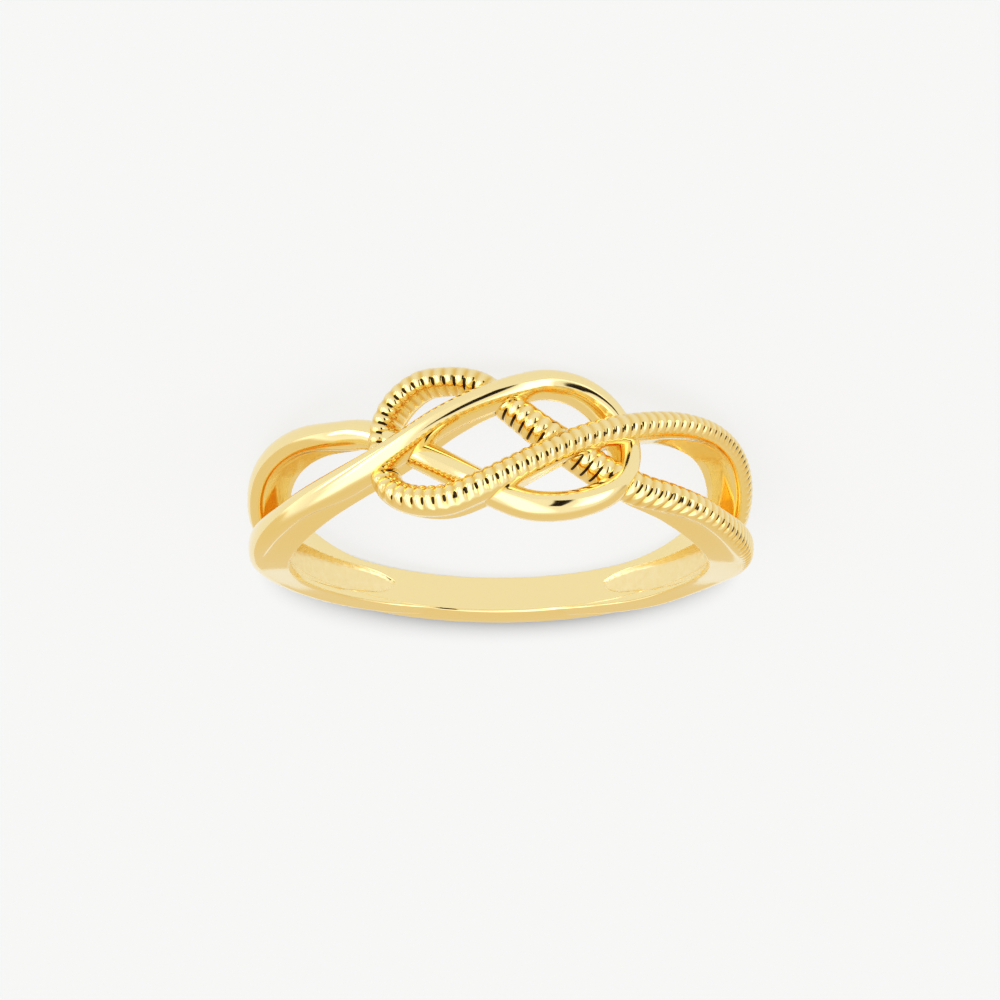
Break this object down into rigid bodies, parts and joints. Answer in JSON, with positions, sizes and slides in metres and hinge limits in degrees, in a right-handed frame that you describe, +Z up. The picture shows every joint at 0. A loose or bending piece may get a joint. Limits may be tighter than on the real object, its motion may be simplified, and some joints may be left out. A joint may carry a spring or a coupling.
{
  "type": "infinity knot ring",
  "caption": "Cast gold finger ring whose band splits into a smooth and a ribbed strand that cross over and under each other in a flat infinity knot.",
  "frame": {"origin": "on the floor under the middle of the ring's box", "axes": "+X from the smooth strand's shoulder towards the ribbed strand's shoulder, +Y from the bottom of the band towards the knot, +Z up, about 7 degrees off the finger hole's axis because the ring lies on its back"},
  "size_m": [0.0208, 0.0206, 0.0062],
  "materials": {
    "gold": "polished yellow gold"
  },
  "bodies": {
    "root": {"ring": "gold"}
  },
  "joints": []
}
